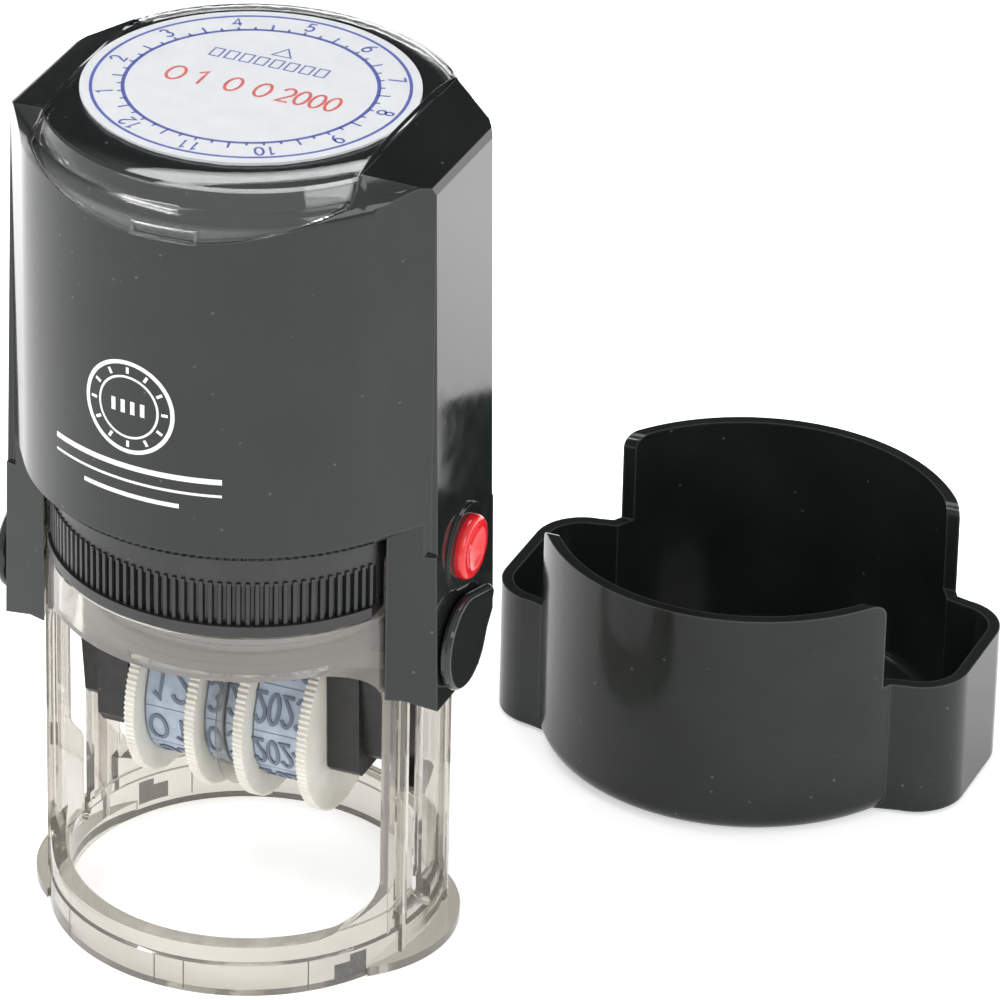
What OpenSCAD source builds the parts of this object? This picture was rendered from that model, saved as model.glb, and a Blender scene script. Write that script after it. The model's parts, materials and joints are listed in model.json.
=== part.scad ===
// Round self-inking date stamp with a turning die, four date wheels and a dust cover.
// Origin: centre of the foot ring on the table. +Z up, the front faces -Y.

/* [Imprint] */
// Diameter of the round imprint
imprint_d = 40; // [38:0.5:40]
// Diameter of the fixed text plate inside the hour ring
text_plate_d = 31.6; // [31:0.1:32]

/* [Base frame] */
// Outer radius of the foot ring and the hoop
frame_r = 25.9; // [25.7:0.1:26]
// Height of the foot ring
foot_h = 7.2; // [6:0.2:8]
// Height of the top edge of the hoop
hoop_top = 53; // [52.8:0.1:53]
// Distance from the middle to the outer face of a side web
web_x = 24.2; // [24.1:0.1:24.3]
// Radius of the rounded corners of the front and back openings
opening_corner_r = 6.5; // [4:0.5:8]

/* [Housing] */
// Radius of the round housing
body_r = 29; // [28.8:0.1:29.2]
// Height of the middle of the domed top
top_z = 118.2; // [117.6:0.1:118.6]
// Height at which the front and back lips of the skirt start to turn in
skirt_z = 66.7; // [66.5:0.1:67.5]
// Height of the lower ends of the side arms
arm_z = 40.8; // [40.4:0.1:41.2]
// Half the width of the clear window between its straight sides
window_half_w = 21.4; // [21.4:0.1:21.8]

/* [Motion] */
// Height of the carriage pivot at rest
pivot_z = 44; // [43.9:0.1:44.1]
// Distance from the pivot to the die face
die_reach = 6; // [5.9:0.1:6]
// Travel of a lock button
button_travel = 1.4; // [1:0.1:1.6]

/* [Date wheels] */
// Height of the wheel axle at rest
wheel_z = 30.7; // [30.5:0.1:31]
// Outer radius of the toothed thumb discs
disc_r = 13.2; // [12.6:0.1:13.2]
// Radius of the drums that the bands run on
drum_r = 8.6; // [8.2:0.1:8.8]
// Number of teeth on a thumb disc
disc_teeth = 108; // [60:4:120]

/* [Dust cover] */
// Where the middle of the cover stands beside the stamp, to the right
cap_x = 44.5; // [44:0.5:60]
// Where the middle of the cover stands behind the stamp
cap_y = 66.4; // [62:0.5:80]
// Height of the tall front and back walls
cap_h = 33; // [28:0.5:34]
// Height of the low side pockets
pocket_h = 20; // [16:0.5:22]

/* [Hidden] */
$fn = 96;

// Foot ring and hoop
foot_in_r = 23.5;
hoop_in_r = 23.9;
groove_z = 4.9;
opening_top = 46.8;
opening_half_w = 23.6;
web_in_x = 23;
web_half_w = 9.4;
web_top = 60.4;
rib_x = 25.5;
rib_y = 6.2;
rib_t = 1.4;
flange_r = 17;
flange_x = 12;
flange_t = 1.3;

// Guide slot in each web
slot_half_w = 1.5;
slot_low_z = 4.5;
slot_bend_z = 18;
slot_bend_h = 6;
slot_top_z = 47.6;
slot_wide_y = -5.4;

// Cassette and pads
cassette_z = 53.3;
cassette_r = 25.2;
grip_root_r = 24.9;
cassette_floor_r = 22.2;
cassette_lid_z = 58.2;
cassette_top_z = 60.2;
grip_r = 25.5;
grip_low_z = 54.8;
grip_high_z = 60.8;
grip_wall_z = 66.6;
grip_wall_in_r = 23.6;
grip_pitch = 1.2;
cassette_half_w = 22.7;
pad_z = 53.5;
pad_r = 21.6;
red_half_x = 15;
red_half_y = 4.6;
pad_gap = 0.3;

// Spring plate and spring
plate_low_z = 60.4;
plate_top_z = 62.4;
plate_r = 22.6;
plate_tab_y = 6;
seat_r = 5.2;
seat_h = 4;
spring_top_z = 112.3;
spring_r = 7;
wire_r = 0.6;
spring_coils = 7;
collar_r = 9.6;
collar_in_r = 8.2;
collar_z = 103;

// Housing shell
cavity_r = 26.4;
cavity_top_z = 112.4;
flat_top_r = 21.6;
plateau_r = 26.3;
plateau_z = 116.7;
rim_z = 113.4;
flat_low_x = 30.5;
flat_top_x = 29.1;
shoulder_z = 114.4;
shoulder_in_z = 116.9;
block_y = 8.8;
corner_turn = 10;
pocket_x = 26.3;
pocket_y = 8.2;
pocket_top_z = 92.5;
lip_low_r = 28.1;
lip_low_z = 65.6;
arm_face_in = [24.3, 11];
arm_face_out = [30.5, 9];
arm_step_z = 62;
arm_chamfer_z = 47.5;
arm_foot_y = 4.5;
arm_slope = 1.2;
window_t = 0.8;
window_low_z = 110;
window_side_z = 113.8;
window_gap = 0.1;
label_r = 21.4;
label_t = 0.25;
label_lift = 0.05;

// Buttons
button_z = 59.2;
button_r = 4.3;
button_in_x = 26.1;
button_hole_r = 4.4;
button_flange_r = 5.2;
flange_depth = 0.8;
collar_ring_r = 5.8;
collar_ring_x = 30.5;
button_out_x = collar_ring_x - 0.2 + button_travel;

// Pivot
pin_r = 1.3;
pin_hole_r = 1.35;
pin_in_x = 17.5;
pin_out_x = 28;
cover_r = 6.4;
cover_y = -2.8;
cover_z = 46.9;
cover_in_x = 30.52;
cover_out_x = 32.1;
cover_tip = [4.6, 50.2];
cover_tip_r = 1.2;
plug_r = 2.4;
plug_in_x = 28.4;

// Carriage
cheek_in_x = 14.2;
cheek_out_x = 21.3;
cheek_half_y = 7;
cheek_low_z = 25;
cheek_rib_x = 18.6;
deck_r = 20.8;
deck_low_z = 45.4;
deck_top_z = 46.8;
well_half_x = 14.3;
well_half_y = 4.6;
deck_well_half_y = 5.6;
anvil_half_y = 2.7;
anvil_low_z = 44.2;
axle_r = 1;
axle_hole_r = 1.05;
lug_size = 2;
lug_turn = -50;
lug_x = 22.7;
lug_y = 4.6;
lug_z = 20.6;

// Die
die_z = pivot_z + die_reach;
rubber_t = 1.6;
ring_low_z = 46.9;
ring_top_z = die_z - rubber_t;
ring_in_r = text_plate_d / 2 + 0.3;
ring_out_r = 20.9;
dial_in_r = text_plate_d / 2 + 0.5;

// Bands and wheels, left to right
band_t = 1.2;
band_gap = 0.15;
anvil_corner_r = 1.2;
disc_t = 1.4;
month_x = [-10.2, -3.35];
tens_x = [-1.7, 0.8];
units_x = [1.2, 3.55];
year_x = [5.15, 12.5];
month_disc_x = -11.7;
tens_disc_x = -3.2;
units_disc_x = 3.65;
year_disc_x = 12.6;
separator_x = [0.9, 1.1];

// Dust cover
cap_r = 28.4;
cap_wall = 1.6;
cap_floor = 1.6;
cap_gap_half_y = 14.2;
cap_edge_r = 3;
pocket_out_x = 33.6;
pocket_half_y = 12.6;
pocket_corner_r = 7;
pocket_root = [23, 13.6];
wall_corner_r = 2;

// Points on an arc
function arc(x, y, r, a0, a1, n = 8) =
    [for (i = [0:n]) [x + r * cos(a0 + (a1 - a0) * i / n), y + r * sin(a0 + (a1 - a0) * i / n)]];

// Curve of the top, from the axis to the vertical wall, set in by d
function top_curve(d) =
    let (
        edge_r = plateau_r - 0.4 * d,
        round_r = body_r - d - edge_r + 0.3
    )
    concat(
        [[0, top_z - d]],
        [for (i = [0:6])
            let (s = i / 6)
            [flat_top_r + (edge_r - flat_top_r) * s, top_z - d - (top_z - plateau_z) * s * s]],
        arc(body_r - d - round_r, rim_z - 1.4 - d / 2, round_r, 56, 0, 8)
    );

// Outline of a belt round a low drum and over the rounded anvil
function belt(r0, r1) =
    let (
        run_y = anvil_half_y + band_gap - anvil_corner_r,
        run_z = die_z - band_t - 0.25 - anvil_corner_r - wheel_z,
        a = atan2(run_z, run_y) - acos((r0 - r1) / norm([run_y, run_z]))
    )
    concat(
        arc(0, wheel_z, r0, a, -180 - a, 40),
        arc(-run_y, wheel_z + run_z, r1, 180 - a, 90, 6),
        arc(run_y, wheel_z + run_z, r1, 90, a, 6)
    );

// Lays a Y-Z outline across the X range
module along_x(x0, x1) {
    translate([x0, 0, 0])
    rotate([90, 0, 90])
    linear_extrude(x1 - x0) children();
}

// Lays an X-Z outline across the Y range
module along_y(y0, y1) {
    translate([0, y1, 0])
    rotate([90, 0, 0])
    linear_extrude(y1 - y0) children();
}

module both_sides() {
    children();
    mirror([1, 0, 0]) children();
}

// Rectangle with rounded corners, from its low corner to its high corner
module round_rect(low, high, r) {
    polygon(concat(
        arc(high[0] - r, high[1] - r, r, 0, 90),
        arc(low[0] + r, high[1] - r, r, 90, 180),
        arc(low[0] + r, low[1] + r, r, 180, 270),
        arc(high[0] - r, low[1] + r, r, 270, 360)
    ));
}

// ---- Base frame ----

module foot_profile() {
    polygon(concat(
        [[foot_in_r, 0], [frame_r + 0.2, 0], [frame_r + 0.2, groove_z - 0.4], [frame_r - 0.3, groove_z]],
        arc(frame_r - 1.5, foot_h - 1.2, 1.2, 0, 90, 4),
        [[foot_in_r, foot_h]]
    ));
}

module guide_slot() {
    polygon(concat(
        arc(0, slot_low_z + slot_half_w, slot_half_w, -180, 0, 12),
        [[slot_half_w, slot_top_z]],
        [[slot_wide_y, slot_top_z]],
        [for (i = [0:10])
            let (s = i / 10)
            [
                slot_wide_y + (-slot_half_w - slot_wide_y) * (1 - cos(180 * s)) / 2,
                slot_bend_z + slot_bend_h * (1 - s)
            ]]
    ));
}

module side_flange() {
    intersection() {
        translate([flange_x, 0, 0]) cylinder(r = flange_r, h = flange_t);
        translate([web_in_x, -flange_r, 0]) cube([flange_r, 2 * flange_r, flange_t]);
    }
}

module web_rib(y) {
    translate([web_x - 0.5, y, 0])
    cube([rib_x - web_x + 0.5, rib_t, hoop_top]);
}

module base_frame() {
    color([0.72, 0.68, 0.62, 0.5])
    difference() {
        union() {
            rotate_extrude() foot_profile();
            difference() {
                translate([0, 0, groove_z]) cylinder(r = frame_r, h = hoop_top - groove_z);
                translate([0, 0, groove_z - 1]) cylinder(r = hoop_in_r, h = hoop_top);
                along_y(-2 * body_r, 2 * body_r)
                round_rect([-opening_half_w, foot_h], [opening_half_w, opening_top], opening_corner_r);
                both_sides()
                translate([web_x, -body_r, flange_t])
                cube([body_r, 2 * body_r, web_top]);
            }
            both_sides() {
                translate([web_in_x, -web_half_w, 0])
                cube([web_x - web_in_x, 2 * web_half_w, web_top]);
                side_flange();
                web_rib(rib_y);
                web_rib(-rib_y - rib_t);
            }
        }
        both_sides()
        along_x(web_in_x - 2, rib_x + 2) guide_slot();
        translate([0, 0, -1]) cylinder(r = foot_in_r, h = foot_h + 1);
    }
}

module spring_plate() {
    color([0.16, 0.16, 0.17])
    translate([0, 0, plate_low_z]) {
        cylinder(r = plate_r, h = plate_top_z - plate_low_z);
        translate([-web_x, -plate_tab_y, 0])
        cube([2 * web_x, 2 * plate_tab_y, plate_top_z - plate_low_z]);
        difference() {
            cylinder(r = seat_r, h = plate_top_z - plate_low_z + seat_h);
            translate([0, 0, plate_top_z - plate_low_z]) cylinder(r = seat_r - 1.4, h = seat_h + 1);
        }
    }
}

// ---- Cassette ----

module grip_outline() {
    count = round(360 * grip_r / grip_pitch * PI / 180);
    step = 360 / count;
    polygon([
        for (i = [0:count - 1])
        for (p = [[0.14, grip_root_r], [0.28, grip_r], [0.68, grip_r], [0.82, grip_root_r]])
        [p[1] * cos((i + p[0]) * step), p[1] * sin((i + p[0]) * step)]
    ]);
}

module ink_cassette() {
    color([0.1, 0.1, 0.11])
    intersection() {
        difference() {
            union() {
                translate([0, 0, cassette_z]) cylinder(r = grip_root_r, h = cassette_top_z - cassette_z);
                translate([0, 0, cassette_z]) cylinder(r = frame_r, h = grip_low_z - cassette_z);
                translate([0, 0, grip_low_z]) linear_extrude(grip_high_z - grip_low_z) grip_outline();
                difference() {
                    cylinder(r = cassette_r, h = grip_wall_z);
                    translate([0, 0, -1]) cylinder(r = grip_wall_in_r, h = grip_wall_z + 2);
                    translate([-body_r, -body_r, -1]) cube([2 * body_r, 2 * body_r, grip_high_z + 0.5]);
                }
            }
            translate([0, 0, cassette_z - 1])
            cylinder(r = cassette_floor_r, h = cassette_lid_z - cassette_z + 1);
            translate([0, 0, cassette_top_z]) cylinder(r = grip_wall_in_r, h = grip_wall_z);
        }
        translate([-cassette_half_w, -body_r, 0]) cube([2 * cassette_half_w, 2 * body_r, top_z]);
    }
}

module ink_pad_blue() {
    color([0.12, 0.13, 0.35])
    difference() {
        translate([0, 0, pad_z]) cylinder(r = pad_r, h = cassette_lid_z - pad_z);
        translate([-red_half_x, -red_half_y, 0]) cube([2 * red_half_x, 2 * red_half_y, top_z]);
    }
}

module ink_pad_red() {
    color([0.6, 0.08, 0.1])
    translate([-red_half_x + pad_gap, -red_half_y + pad_gap, pad_z])
    cube([2 * (red_half_x - pad_gap), 2 * (red_half_y - pad_gap), cassette_lid_z - pad_z]);
}

module coil(r, z0, z1, turns, wire) {
    steps = 16 * turns;
    for (i = [0:steps - 1])
    hull()
    for (k = [i, i + 1])
    translate([r * cos(22.5 * k), r * sin(22.5 * k), z0 + wire + (z1 - z0 - 2 * wire) * k / steps])
    sphere(r = wire, $fn = 6);
}

module return_spring() {
    color([0.7, 0.7, 0.72]) coil(spring_r, plate_top_z, spring_top_z, spring_coils, wire_r);
}

// ---- Housing ----

module body_solid(d = 0) {
    rotate_extrude()
    polygon(concat([[0, 0]], top_curve(d), [[body_r - d, 0]]));
}

// Space under the top's edge curve, carried on in a straight line past the angle a
module corner_round(a) {
    rotate(-a)
    translate([body_r * (cos(corner_turn) - 1), 0, 0])
    along_y(-2 * body_r, 2 * body_r)
    polygon(concat([[-3 * body_r, 0], [-3 * body_r, top_z]], top_curve(0), [[body_r, 0]]));
}

// Flats at the sides, with walls that run tangent to the round body
module side_block() {
    reach = norm([flat_top_x, block_y]);
    touch = atan2(block_y, flat_top_x) + acos(body_r / reach);
    intersection() {
        linear_extrude(top_z)
        polygon([
            [0, 0],
            [body_r * cos(touch), -body_r * sin(touch)],
            [flat_top_x, -block_y],
            [flat_low_x, -block_y],
            [flat_low_x, block_y],
            [flat_top_x, block_y],
            [body_r * cos(touch), body_r * sin(touch)]
        ]);
        corner_round(touch + corner_turn);
        mirror([0, 1, 0]) corner_round(touch + corner_turn);
    }
}

// Thicker lower part of each side, down to the arms
module arm_block() {
    linear_extrude(arm_step_z)
    polygon([
        [0, 0],
        [arm_face_in[0], -arm_face_in[1]], arm_face_out - [0, 2 * arm_face_out[1]],
        arm_face_out, arm_face_in
    ]);
}

module front_profile() {
    polygon([
        [-cavity_r, arm_z], [-flat_low_x, arm_z - arm_slope],
        [-flat_top_x, shoulder_z - 1.6], [-flat_top_x + 0.4, shoulder_z - 0.5],
        [-flat_top_x + 1.4, shoulder_z], [-window_half_w, shoulder_in_z], [-window_half_w, top_z + 1],
        [window_half_w, top_z + 1], [window_half_w, shoulder_in_z], [flat_top_x - 1.4, shoulder_z],
        [flat_top_x - 0.4, shoulder_z - 0.5], [flat_top_x, shoulder_z - 1.6],
        [flat_low_x, arm_z - arm_slope], [cavity_r, arm_z]
    ]);
}

// Front view of the window: straight sides and a sagging lower edge
module window_outline(gap) {
    sag = window_side_z - window_low_z;
    polygon(concat(
        [[window_half_w + gap, top_z + 1], [-window_half_w - gap, top_z + 1]],
        [for (i = [0:16])
            let (s = i / 8 - 1)
            [s * (window_half_w + gap), window_low_z - gap + sag * s * s]]
    ));
}

// Space under the skirt at the front and back, with lips that turn in
module skirt_openings() {
    difference() {
        for (side = [0, 1])
        mirror([0, side, 0])
        translate([0, 0, arm_z - 2 * arm_slope])
        linear_extrude(skirt_z - arm_z + 2 * arm_slope)
        polygon([
            [-arm_face_in[0], -arm_face_in[1]],
            [arm_face_in[0], -arm_face_in[1]],
            [arm_face_out[0], -arm_face_out[1]],
            [2 * body_r, -arm_face_out[1]],
            [2 * body_r, -2 * body_r],
            [-2 * body_r, -2 * body_r],
            [-2 * body_r, -arm_face_out[1]],
            [-arm_face_out[0], -arm_face_out[1]]
        ]);
        rotate_extrude()
        polygon([[0, lip_low_z], [lip_low_r, lip_low_z], [body_r + 0.15, skirt_z + 0.01], [0, skirt_z + 0.01]]);
    }
}

module arm_chamfers() {
    along_x(-2 * body_r, 2 * body_r)
    polygon([
        [arm_face_in[1], arm_chamfer_z], [arm_foot_y, arm_z - 0.1], [arm_foot_y, arm_z - 5],
        [2 * body_r, arm_z - 5], [2 * body_r, arm_chamfer_z]
    ]);
}

module housing() {
    color([0.13, 0.14, 0.14])
    difference() {
        union() {
            intersection() {
                union() {
                    body_solid();
                    both_sides() {
                        side_block();
                        arm_block();
                    }
                }
                along_y(-2 * body_r, 2 * body_r) front_profile();
            }
            both_sides()
            translate([pocket_x, 0, button_z])
            rotate([0, 90, 0])
            cylinder(r = collar_ring_r, h = collar_ring_x - pocket_x);
        }
        // Hollow for the frame, and pockets for the webs' ribs
        cylinder(r = cavity_r, h = cavity_top_z);
        translate([-pocket_x, -pocket_y, 0]) cube([2 * pocket_x, 2 * pocket_y, pocket_top_z]);
        skirt_openings();
        arm_chamfers();
        // Seat for the window
        difference() {
            along_y(-2 * body_r, 2 * body_r) window_outline(window_gap);
            body_solid(window_t + 2 * label_lift + label_t);
        }
        // Button bores and pivot bores
        both_sides() {
            translate([cavity_r - 2, 0, button_z])
            rotate([0, 90, 0])
            cylinder(r = button_hole_r, h = 10);
            translate([pocket_x - 1, 0, button_z])
            rotate([0, 90, 0])
            cylinder(r = button_flange_r + 0.1, h = 1 + flange_depth);
            translate([cavity_r - 2, 0, pivot_z])
            rotate([0, 90, 0])
            cylinder(r = pin_hole_r, h = pin_out_x - cavity_r + 2.1);
            translate([plug_in_x - 0.1, cover_y, cover_z])
            rotate([0, 90, 0])
            cylinder(r = plug_r + 0.05, h = 10);
        }
    }
}

module spring_collar() {
    color([0.16, 0.16, 0.17])
    translate([0, 0, collar_z])
    difference() {
        cylinder(r = collar_r, h = cavity_top_z - collar_z - 0.02);
        translate([0, 0, -1]) cylinder(r = collar_in_r, h = cavity_top_z);
    }
}

module index_label() {
    color([0.95, 0.95, 0.96])
    difference() {
        intersection() {
            body_solid(window_t + label_lift);
            cylinder(r = label_r, h = 2 * top_z);
        }
        body_solid(window_t + label_lift + label_t);
    }
}

module index_window() {
    color([0.85, 0.88, 0.9, 0.35])
    difference() {
        intersection() {
            body_solid();
            along_y(-2 * body_r, 2 * body_r) window_outline(0);
        }
        body_solid(window_t);
    }
}

// Drop-shaped cover over each pivot, held by a plug in the housing
module pivot_cover() {
    lean = atan2(cover_tip[1] - cover_z, cover_tip[0] - cover_y);
    spread = acos((cover_r - cover_tip_r) / norm(cover_tip - [cover_y, cover_z]));
    along_x(cover_in_x, cover_out_x)
    polygon(concat(
        arc(cover_y, cover_z, cover_r, lean + spread, lean + 360 - spread, 40),
        arc(cover_tip[0], cover_tip[1], cover_tip_r, lean - spread, lean + spread, 8)
    ));
    translate([plug_in_x, cover_y, cover_z])
    rotate([0, 90, 0])
    cylinder(r = plug_r, h = cover_in_x - plug_in_x + 0.5);
}

module pivot_covers() {
    color([0.1, 0.1, 0.11]) both_sides() pivot_cover();
}

module pivot_pins() {
    color([0.75, 0.76, 0.78])
    both_sides()
    translate([pin_in_x, 0, pivot_z])
    rotate([0, 90, 0])
    cylinder(r = pin_r, h = pin_out_x - pin_in_x);
}

module lock_button() {
    dish = 0.9;
    translate([0, 0, button_z])
    rotate([0, 90, 0])
    rotate_extrude()
    polygon(concat(
        [[0, button_in_x], [button_flange_r, button_in_x], [button_flange_r, button_in_x + flange_depth],
            [button_r, button_in_x + flange_depth]],
        arc(button_r - 0.8, button_out_x - 0.8, 0.8, 0, 110, 6),
        [for (i = [0:6]) [(button_r - 1.3) * (1 - i / 6), button_out_x - dish * (1 - pow(1 - i / 6, 2))]]
    ));
}

module lock_button_left() {
    color([0.85, 0.1, 0.12]) mirror([1, 0, 0]) lock_button();
}

module lock_button_right() {
    color([0.85, 0.1, 0.12]) lock_button();
}

// ---- Carriage ----

// One face of a cheek, tapered at its lower end
module cheek_outline(taper, rise) {
    polygon([
        [-cheek_half_y, deck_low_z],
        [-cheek_half_y + taper, cheek_low_z + rise],
        [-cheek_half_y + taper + 1, cheek_low_z + rise - 1],
        [cheek_half_y - taper - 1, cheek_low_z + rise - 1],
        [cheek_half_y - taper, cheek_low_z + rise],
        [cheek_half_y, deck_low_z]
    ]);
}

module cheek() {
    difference() {
        union() {
            along_x(cheek_in_x, cheek_rib_x) cheek_outline(0.6, 1);
            along_x(cheek_rib_x - 0.5, cheek_out_x) cheek_outline(2.4, 3);
            // Guide lug that shows in the web's slot
            along_x(cheek_out_x - 2.5, lug_x)
            translate([lug_y, lug_z])
            rotate(lug_turn)
            square([lug_size, 2 * lug_size], center = true);
            along_x(cheek_rib_x - 0.5, cheek_out_x)
            polygon([
                [0, cheek_low_z + 4], [lug_y - 1, lug_z - 1],
                [lug_y + 1.6, lug_z], [cheek_half_y - 1, cheek_low_z + 6]
            ]);
        }
        translate([cheek_in_x - 1, 0, pivot_z]) rotate([0, 90, 0]) cylinder(r = pin_hole_r, h = 20);
        translate([cheek_in_x - 1, 0, wheel_z]) rotate([0, 90, 0]) cylinder(r = axle_hole_r, h = 20);
    }
}

module carriage_frame() {
    color([0.12, 0.12, 0.12]) {
        difference() {
            translate([0, 0, deck_low_z]) cylinder(r = deck_r, h = deck_top_z - deck_low_z);
            translate([-well_half_x, -deck_well_half_y, 0])
            cube([2 * well_half_x, 2 * deck_well_half_y, top_z]);
        }
        both_sides() cheek();
    }
}

module anvil_outline(d) {
    top = die_z - band_t - 0.25 - band_gap;
    r = anvil_corner_r - band_gap;
    polygon(concat(
        [[-anvil_half_y - d, anvil_low_z - d], [anvil_half_y + d, anvil_low_z - d]],
        arc(anvil_half_y - r, top - r, r + d, 0, 90, 4),
        arc(-anvil_half_y + r, top - r, r + d, 90, 180, 4)
    ));
}

module band_anvil() {
    color([0.14, 0.14, 0.15])
    along_x(-cheek_in_x + 0.02, cheek_in_x - 0.02) anvil_outline(0);
}

module wheel_axle() {
    color([0.75, 0.76, 0.78])
    along_x(-cheek_out_x, cheek_out_x)
    translate([0, wheel_z]) circle(r = axle_r);
}

module text_plate() {
    color([0.55, 0.6, 0.68])
    difference() {
        union() {
            translate([0, 0, deck_top_z]) cylinder(r = text_plate_d / 2, h = die_z - deck_top_z - 0.8);
            // Raised rule round the text and the two date bars
            difference() {
                translate([0, 0, deck_top_z]) cylinder(r = text_plate_d / 2, h = die_z - deck_top_z);
                cylinder(r = text_plate_d / 2 - 0.5, h = top_z);
            }
            for (y = [-7.3, -10.5])
            translate([-8, y, deck_top_z]) cube([16, 0.9, die_z - deck_top_z]);
        }
        translate([-well_half_x, -well_half_y, 0]) cube([2 * well_half_x, 2 * well_half_y, top_z]);
    }
}

module hour_ring() {
    color([0.14, 0.14, 0.15])
    difference() {
        translate([0, 0, ring_low_z]) cylinder(r = ring_out_r, h = ring_top_z - ring_low_z);
        cylinder(r = ring_in_r, h = top_z);
    }
}

module hour_dial() {
    color([0.55, 0.6, 0.68])
    difference() {
        union() {
            translate([0, 0, ring_top_z]) cylinder(r = imprint_d / 2 + 0.2, h = rubber_t - 0.8);
            difference() {
                translate([0, 0, ring_top_z]) cylinder(r = imprint_d / 2, h = rubber_t);
                cylinder(r = imprint_d / 2 - 0.5, h = top_z);
            }
            for (i = [0:11])
            rotate(30 * i)
            translate([dial_in_r + 0.3, -0.2, ring_top_z])
            cube([2, 0.4, rubber_t]);
        }
        cylinder(r = dial_in_r, h = top_z);
    }
}

module date_band(x) {
    color([0.62, 0.68, 0.75])
    along_x(x[0], x[1])
    difference() {
        polygon(belt(drum_r + band_gap + band_t, anvil_corner_r + band_t));
        polygon(belt(drum_r + band_gap, anvil_corner_r));
    }
}

module month_band() {
    date_band(month_x);
}

module tens_band() {
    date_band(tens_x);
}

module units_band() {
    date_band(units_x);
}

module year_band() {
    date_band(year_x);
}

module band_separator() {
    color([0.6, 0.58, 0.54])
    along_x(separator_x[0], separator_x[1])
    difference() {
        polygon(belt(disc_r - 0.8, anvil_corner_r + band_t - 0.3));
        translate([0, wheel_z]) circle(r = axle_hole_r);
        anvil_outline(0.1);
    }
}

// Outline of a thumb disc with small square teeth
module disc_outline() {
    step = 360 / disc_teeth;
    polygon([
        for (i = [0:disc_teeth - 1])
        for (p = [[0, disc_r - 0.35], [0.3, disc_r], [0.6, disc_r], [0.9, disc_r - 0.35]])
        [p[1] * cos((i + p[0]) * step), wheel_z + p[1] * sin((i + p[0]) * step)]
    ]);
}

module date_wheel(disc_x, drum_x) {
    color([0.88, 0.86, 0.8])
    difference() {
        union() {
            along_x(disc_x, disc_x + disc_t) disc_outline();
            along_x(min(disc_x, drum_x[0]), max(disc_x + disc_t, drum_x[1]))
            translate([0, wheel_z]) circle(r = drum_r);
        }
        along_x(-body_r, body_r) translate([0, wheel_z]) circle(r = axle_hole_r);
    }
}

module month_wheel() {
    date_wheel(month_disc_x, month_x);
}

module tens_wheel() {
    date_wheel(tens_disc_x, tens_x);
}

module units_wheel() {
    date_wheel(units_disc_x, units_x);
}

module year_wheel() {
    date_wheel(year_disc_x, year_x);
}

// ---- Dust cover ----

module cup(d) {
    rotate_extrude()
    polygon(concat(
        [[0, d]],
        arc(cap_r - cap_edge_r, cap_edge_r, cap_edge_r - d, -90, 0),
        [[cap_r - d, cap_h + d], [0, cap_h + d]]
    ));
}

module pocket_outline(d) {
    r = pocket_corner_r;
    polygon(concat(
        [[pocket_root[0], -pocket_root[1] + d]],
        arc(pocket_out_x - r, -pocket_half_y + r, r - d, -86, 0, 10),
        arc(pocket_out_x - r, pocket_half_y - r, r - d, 0, 86, 10),
        [[pocket_root[0], pocket_root[1] - d]]
    ));
}

// Gap between the tall walls, with rounded top corners
module wall_gap() {
    r = wall_corner_r;
    along_x(-2 * cap_r, 2 * cap_r)
    polygon(concat(
        [[-cap_gap_half_y, pocket_h], [cap_gap_half_y, pocket_h]],
        arc(cap_gap_half_y + r, cap_h - r, r, 180, 90, 6),
        [[cap_gap_half_y + r, cap_h + 5], [-cap_gap_half_y - r, cap_h + 5]],
        arc(-cap_gap_half_y - r, cap_h - r, r, 90, 0, 6)
    ));
}

module cap() {
    color([0.1, 0.1, 0.11])
    translate([cap_x, cap_y, 0])
    difference() {
        union() {
            difference() {
                cup(0);
                wall_gap();
            }
            both_sides()
            translate([0, 0, 0.6])
            linear_extrude(pocket_h - 0.6) pocket_outline(0);
        }
        intersection() {
            cup(cap_wall);
            translate([-3 * cap_r, -3 * cap_r, cap_floor]) cube(6 * cap_r);
        }
        both_sides()
        translate([0, 0, cap_floor + 0.6])
        linear_extrude(cap_h) pocket_outline(cap_wall);
    }
}

base_frame();
spring_plate();
ink_cassette();
ink_pad_blue();
ink_pad_red();
return_spring();
housing();
spring_collar();
index_label();
index_window();
pivot_covers();
pivot_pins();
lock_button_left();
lock_button_right();
carriage_frame();
band_anvil();
wheel_axle();
text_plate();
band_separator();
month_band();
tens_band();
units_band();
year_band();
hour_ring();
hour_dial();
month_wheel();
tens_wheel();
units_wheel();
year_wheel();
cap();
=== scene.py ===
import json
from math import acos, atan2, cos, hypot, pi, radians, sin

import bpy
import numpy as np
from mathutils import Matrix, Vector


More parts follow.
